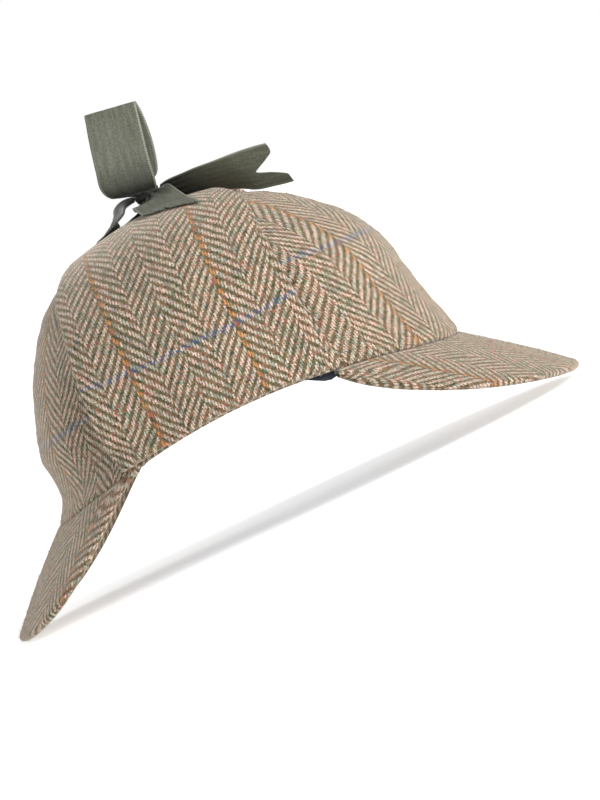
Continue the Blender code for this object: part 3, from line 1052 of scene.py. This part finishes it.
def build_loose_wool(cloths, wool):
    """Short fibres that stand out of the tweed, each a bent strip that narrows to its end."""
    chance = random.Random(STRAY_SEED)
    fuzz = bmesh.new()
    flat = fuzz.loops.layers.uv.new(CLOTH_MAP)
    for cloth in cloths:
        mesh = cloth.data
        reach = [0.0]
        for face in mesh.polygons:
            reach.append(reach[-1] + face.area)
        for _ in range(int(reach[-1] / STRAY_AREA)):
            index = bisect.bisect_right(reach, chance.random() * reach[-1]) - 1
            face = mesh.polygons[min(index, len(mesh.polygons) - 1)]
            corners = [mesh.vertices[number].co for number in face.vertices]
            first, second = chance.random(), chance.random()
            root = corners[0].lerp(corners[1], first).lerp(corners[-2].lerp(corners[-1], 1 - first), second)
            lean = Vector([chance.uniform(-1, 1) for _ in range(3)])
            lean = (lean - face.normal * lean.dot(face.normal)).normalized()
            length = chance.uniform(*STRAY_LENGTH)
            rise = chance.uniform(*STRAY_RISE)
            aside = face.normal.cross(lean) * STRAY_WIDTH / 2
            bend = aside.normalized() * length * chance.uniform(-STRAY_BEND, STRAY_BEND)
            rows = []
            for share in (0.0, 0.5, 1.0):
                middle = root + lean * length * share + face.normal * (rise * length * share * (2 - share))
                middle += bend * share ** 2
                width = aside * (1 - STRAY_TAPER * share)
                middle.z = max(middle.z, LEAST_HEIGHT + STRAY_WIDTH / 2)
                rows.append((fuzz.verts.new(middle - width), fuzz.verts.new(middle + width)))
            dye = (chance.random(), chance.random())
            for (a, b), (c, d) in zip(rows, rows[1:]):
                strip = fuzz.faces.new((a, b, d, c))
                for corner in strip.loops:
                    corner[flat].uv = dye
    piece = add_object("loose_wool", fuzz, (wool,), smooth=False)
    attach(piece, "root")


# Ribbon


def knot_reach(direction):
    """How far the knot reaches in a direction, to the plane that just touches it there."""
    power = 2 / (2 - KNOT_SQUARENESS)
    total = sum(abs(d * size / 2) ** power for d, size in zip(direction, KNOT_SIZE))
    return total ** (1 / power)


def build_knot(ribbon):
    """A short wrap of ribbon, with folds that run round it."""
    knot = bmesh.new()
    bmesh.ops.create_uvsphere(knot, u_segments=KNOT_FACETS[0], v_segments=KNOT_FACETS[1], radius=1)
    flat = knot.loops.layers.uv.new(CLOTH_MAP)
    depth, rate, sway, sharpness = KNOT_FOLDS
    for point in knot.verts:
        turn = math.atan2(point.co.y, point.co.x)
        # Short cloth lengths round the knot keep it in the ribbon's painted shade
        for corner in point.link_loops:
            corner[flat].uv = (point.co.z * KNOT_SIZE.z / 2, turn * KNOT_TURN_LENGTH)
        fold = 1 - depth * math.cos(rate * point.co.z + sway * math.sin(turn)) ** sharpness
        squared = [math.copysign(abs(c) ** KNOT_SQUARENESS, c) * fold for c in point.co]
        point.co = KNOT_CENTRE + Vector([c * size / 2 for c, size in zip(squared, KNOT_SIZE)])
    piece = add_piece("knot_wrap", merge(knot), (ribbon,), "bow_knot")
    return piece


def width_vector(yaw, dip, width):
    """Half of the ribbon's width, as a vector along its row."""
    yaw, dip = math.radians(yaw), math.radians(dip)
    direction = Vector((math.cos(yaw) * math.cos(dip), math.sin(yaw) * math.cos(dip), -math.sin(dip)))
    return direction * RIBBON_WIDTH / 2 * width


def pinched_row(next_row):
    """The row where a ribbon goes into the knot, square to its way out to the given row."""
    middle, half = next_row
    outwards = (middle - KNOT_CENTRE).normalized()
    start = KNOT_CENTRE + outwards * (knot_reach(outwards) - FIT_GAP)
    square = half - outwards * half.dot(outwards)
    return start, square.normalized() * RIBBON_WIDTH / 2 * KNOT_PINCH_SHARE


def from_knot(stations, reach):
    """Rows of middle point and half-width vector, from the knot's skin on through the stations."""
    rows = []
    for forward, left, up, yaw, dip, width in stations:
        middle = KNOT_CENTRE + Vector((forward, left, up)) * reach
        rows.append((middle, width_vector(yaw, dip, width)))
    rows.insert(0, pinched_row(rows[0]))
    return rows


def top_of_cloth(point):
    """The height of the cloth under the bow at a point's plan place."""
    down_flap = max(abs(point.y) - FLAP_TOP_GAP / 2, 0)
    from_corner = max(FLAP_CORNER - down_flap, 0)
    inset = FLAP_CORNER - math.sqrt(FLAP_CORNER ** 2 - from_corner ** 2)
    reach = FLAP_HALF_WIDTH * FLAP_SECTIONS[-1][0] - inset
    on_flap = down_flap > 0 and abs(point.x - FLAP_CENTRE) < reach
    rise = crown_rise(round(point.x, PLACE_DIGITS), round(abs(point.y), PLACE_DIGITS))
    angle = math.atan2(abs(point.y) / RIM_WIDTH, point.x / RIM_LENGTH)
    flap_height = (FLAP_THICKNESS + FLAP_CLEARANCE) / crown_normal(angle, rise).z
    return crown_point(angle, rise).z + (flap_height if on_flap else 0)


def build_ribbon(name, rows, facets, node, ribbon, end_cut=lambda across: 0, clearance=None):
    """A strip through rows of middle point and half width. End_cut is the share taken off its end, and
    clearance its least height over the cloth that it lies on."""
    fold_height, fold_count, sway, sway_rate = RIBBON_GATHERS
    table = [(*middle, *half) for middle, half in rows]
    lengths, last = [(0,)], None
    for step in range(ARC_STEPS + 1):
        here = Vector(smooth_row(table, step / ARC_STEPS)[:3])
        if last is not None:
            lengths.append((lengths[-1][0] + (here - last).length,))
        last = here

    def flat_point(across, run):
        row = smooth_row(table, run)
        return Vector(row[:3]) + Vector(row[3:]) * (2 * across - 1), Vector(row[3:]).length

    def place(across, along):
        run = along * (1 - end_cut(across))
        point, half = flat_point(across, run)
        ahead, _ = flat_point(across, min(run + SLOPE_STEP, 1))
        behind, _ = flat_point(across, max(run - SLOPE_STEP, 0))
        aside, _ = flat_point(across + SLOPE_STEP, run)
        normal = (ahead - behind).cross(aside - point).normalized()
        slack = max(0, 1 - 2 * half / RIBBON_WIDTH)
        folds = math.sin(2 * math.pi * (fold_count * across + sway * math.sin(sway_rate * run)))
        wave = cloth_wave(point, RIBBON_WAVE)
        point = point + normal * (fold_height * slack * folds + wave)
        if clearance is not None:
            point.z = max(point.z, top_of_cloth(point) + clearance)
        return point

    def cloth(across, along):
        run = along * (1 - end_cut(across))
        return (across - 0.5) * RIBBON_WIDTH, smooth_row(lengths, run)[0]

    shape = merge(mapped_grid(facets, place, cloth))
    piece = add_piece(name, shape, (ribbon,), node)
    add_wall(piece, RIBBON_THICKNESS, 0)
    return piece


def build_loop(ribbon):
    rows = []
    for shift, out, up, width in LOOP_STATIONS:
        offset = Vector((shift * RIBBON_WIDTH, -out * LOOP_DEPTH, up * LOOP_HEIGHT))
        rows.append((KNOT_CENTRE + offset, width_vector(0, math.degrees(LOOP_DIP), width)))
    rows.insert(0, pinched_row(rows[0]))
    rows.append(pinched_row(rows[-1]))
    build_ribbon("standing_loop", rows, LOOP_FACETS, "bow_loop", ribbon)


def build_tails(ribbon, frayed_ribbon):
    def notch(across):
        return smooth_row(NOTCH_CUTS, across)[0] * NOTCH_DEPTH / NOTCHED_TAIL_REACH

    def fray(across):
        lost = sum(strength * noise.noise(Vector((across * count, 0, 0))) for count, strength in FRAY_CHANGES)
        threads = THREAD_DEPTH_SHARE * (across * THREAD_COUNT % 1)
        return PLAIN_TAIL_SLANT_SHARE * (1 - across) + max(0, FRAY_DEPTH_SHARE * lost) + threads

    notched = from_knot(NOTCHED_TAIL_STATIONS, NOTCHED_TAIL_REACH)
    build_ribbon("long_tail", notched, TAIL_FACETS, "tail_notched", ribbon, notch,
                 clearance=LONG_TAIL_CLEARANCE)
    plain = from_knot(PLAIN_TAIL_STATIONS, PLAIN_TAIL_REACH)
    build_ribbon("short_tail", plain, TAIL_FACETS, "tail_plain", frayed_ribbon, fray,
                 clearance=SHORT_TAIL_CLEARANCE)


def sewn_rows(name, side, forward, length):
    """The last rows of a strap, which runs level into the top edge of the flap on its side."""
    reach = FLAP_HALF_WIDTH * FLAP_SECTIONS[-1][0] - FLAP_CORNER
    edge, _ = flap_surface((forward - FLAP_CENTRE) / reach, 1, length, FLAP_CLEARANCE + FLAP_THICKNESS / 2)
    half = width_vector(0, 0, STRAP_LANDING_WIDTHS[name])
    end = FLAP_TOP_GAP / 2
    return [(Vector((edge.x, side * (end - lead), edge.z)), half) for lead in (STRAP_LEAD, 0)]


def build_straps(ribbon):
    length = flap_length()
    near = from_knot(NEAR_STRAP_STATIONS, STRAP_REACH)
    near += sewn_rows("strap_near", -1, FLAP_CENTRE, length)
    build_ribbon("near_strap", near, STRAP_FACETS, "strap_near", ribbon)
    far = from_knot(FAR_STRAP_STATIONS, STRAP_REACH)
    far += sewn_rows("strap_far", 1, FAR_STRAP_PLACE, length)
    build_ribbon("far_strap", far, STRAP_FACETS, "strap_far", ribbon)


# Stage


def build_floor():
    floor = bmesh.new()
    bmesh.ops.create_grid(floor, x_segments=1, y_segments=1, size=FLOOR_SIZE)
    f = Finish("pale_floor")
    f.cover(FLOOR_WHITE, FLOOR_SURFACE)
    stage = add_object("floor", floor, (f.material,), smooth=False)


def build_lights():
    for name, direction, width, strength in SOFT_LIGHTS:
        light = bpy.data.lights.new(name, "SUN")
        light.angle = math.radians(width)
        light.energy = strength
        lamp = bpy.data.objects.new(name, light)
        lamp.rotation_euler = Vector(direction).to_track_quat("Z", "Y").to_euler()
        bpy.context.scene.collection.objects.link(lamp)
    world = bpy.data.worlds.new("studio")
    bpy.context.scene.world = world
    world.use_nodes = True
    tree = world.node_tree
    sky = tree.nodes["Background"]
    seen = tree.nodes.new("ShaderNodeLightPath")
    strength = tree.nodes.new("ShaderNodeMix")
    strength.inputs[2].default_value = WORLD_LIGHT
    strength.inputs[3].default_value = WORLD_WHITE
    tree.links.new(seen.outputs["Is Camera Ray"], strength.inputs[0])
    tree.links.new(strength.outputs[0], sky.inputs["Strength"])
    sky.inputs["Color"].default_value = (1, 1, 1, 1)
    bpy.context.scene.view_settings.view_transform = "Standard"


def build_camera():
    turn, tilt = CAMERA_AZIMUTH, CAMERA_ELEVATION
    back = Vector((math.sin(turn) * math.cos(tilt), -math.cos(turn) * math.cos(tilt), math.sin(tilt)))
    level_right = Vector((math.cos(turn), math.sin(turn), 0))
    level_up = back.cross(level_right)
    aim = Vector((0, 0, RIM_LEVEL)) + level_right * AIM_RIGHT + level_up * AIM_UP
    right = level_right * math.cos(CAMERA_ROLL) - level_up * math.sin(CAMERA_ROLL)
    up = level_right * math.sin(CAMERA_ROLL) + level_up * math.cos(CAMERA_ROLL)
    view = bpy.data.cameras.new("camera")
    view.lens = CAMERA_LENS
    view.sensor_width = CAMERA_SENSOR
    view.clip_start = CAMERA_NEAR
    camera = bpy.data.objects.new("camera", view)
    turned = Matrix((right, up, back)).transposed().to_4x4()
    camera.matrix_world = Matrix.Translation(aim + back * CAMERA_DISTANCE) @ turned
    bpy.context.scene.collection.objects.link(camera)
    bpy.context.scene.camera = camera


build_camera()
build_lights()
build_floor()
tweed, lining = make_tweed(), make_lining()
ribbon, frayed_ribbon = (make_ribbon(name, *shades) for name, shades in RIBBON_SHADES.items())
build_knot(ribbon)
cloths = [build_gore(index, tweed, lining) for index in range(len(GORE_NAMES))]
build_lining_edge(lining)
cloths.append(build_peak("front_peak", 0, "peak_front", tweed))
cloths.append(build_peak("back_peak", math.pi, "peak_back", tweed))
cloths.append(build_flap("right_flap", -1, "ear_flap_right", tweed))
cloths.append(build_flap("left_flap", 1, "ear_flap_left", tweed))
build_loose_wool(cloths, make_loose_wool())
build_loop(ribbon)
build_tails(ribbon, frayed_ribbon)
build_straps(ribbon)

bpy.context.view_layer.update()
